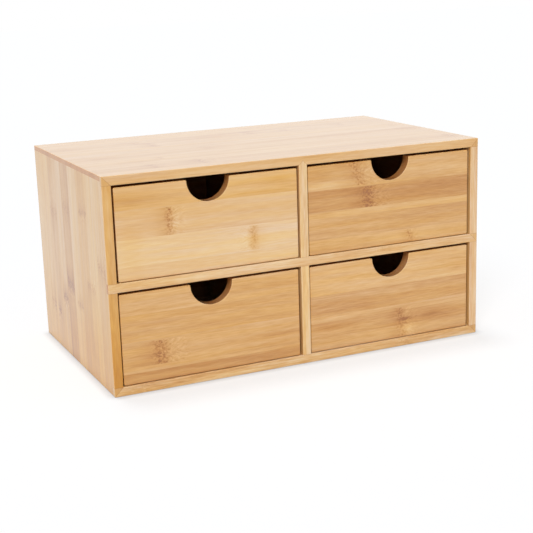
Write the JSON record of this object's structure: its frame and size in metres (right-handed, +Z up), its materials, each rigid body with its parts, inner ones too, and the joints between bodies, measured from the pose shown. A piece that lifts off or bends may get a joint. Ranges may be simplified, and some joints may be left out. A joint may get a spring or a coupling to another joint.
{
  "type": "desktop mini drawers",
  "caption": "Bamboo desktop cabinet with inset drawers in a grid, each front with a semicircular finger notch in its upper edge.",
  "frame": {"origin": "middle of the cabinet's footprint, on the table", "axes": "+X to the right seen from the front, +Y to the back, +Z up; the drawers open towards -Y"},
  "size_m": [0.33, 0.195, 0.171],
  "materials": {
    "bamboo_case": "clear satin lacquer",
    "bamboo_key": "clear satin lacquer",
    "bamboo_front": "clear satin lacquer",
    "bamboo_box": "sanded, clear sealer",
    "bamboo_thin": "sanded, clear sealer"
  },
  "bodies": {
    "cabinet": {"top_panel": "bamboo_case", "bottom_panel": "bamboo_case", "left_side": "bamboo_case", "right_side": "bamboo_case", "middle_shelf": "bamboo_case", "upper_divider": "bamboo_case", "lower_divider": "bamboo_case", "back_panel": "bamboo_thin", "top_left_corner_key": "bamboo_key", "top_right_corner_key": "bamboo_key", "bottom_left_corner_key": "bamboo_key", "bottom_right_corner_key": "bamboo_key", "shelf_end_key": "bamboo_key"},
    "upper_left_drawer": {"upper_left_drawer_front": "bamboo_front", "upper_left_drawer_left_side": "bamboo_box", "upper_left_drawer_right_side": "bamboo_box", "upper_left_drawer_back": "bamboo_box", "upper_left_drawer_bottom": "bamboo_thin"},
    "upper_right_drawer": {"upper_right_drawer_front": "bamboo_front", "upper_right_drawer_left_side": "bamboo_box", "upper_right_drawer_right_side": "bamboo_box", "upper_right_drawer_back": "bamboo_box", "upper_right_drawer_bottom": "bamboo_thin"},
    "lower_left_drawer": {"lower_left_drawer_front": "bamboo_front", "lower_left_drawer_left_side": "bamboo_box", "lower_left_drawer_right_side": "bamboo_box", "lower_left_drawer_back": "bamboo_box", "lower_left_drawer_bottom": "bamboo_thin"},
    "lower_right_drawer": {"lower_right_drawer_front": "bamboo_front", "lower_right_drawer_left_side": "bamboo_box", "lower_right_drawer_right_side": "bamboo_box", "lower_right_drawer_back": "bamboo_box", "lower_right_drawer_bottom": "bamboo_thin"}
  },
  "joints": [
    {"name": "upper_left_slide", "type": "slide", "parent": "cabinet", "child": "upper_left_drawer", "axis": [0, -1, 0], "range_m": [0, 0.15]},
    {"name": "upper_right_slide", "type": "slide", "parent": "cabinet", "child": "upper_right_drawer", "axis": [0, -1, 0], "range_m": [0, 0.15]},
    {"name": "lower_left_slide", "type": "slide", "parent": "cabinet", "child": "lower_left_drawer", "axis": [0, -1, 0], "range_m": [0, 0.15]},
    {"name": "lower_right_slide", "type": "slide", "parent": "cabinet", "child": "lower_right_drawer", "axis": [0, -1, 0], "range_m": [0, 0.15]}
  ]
}
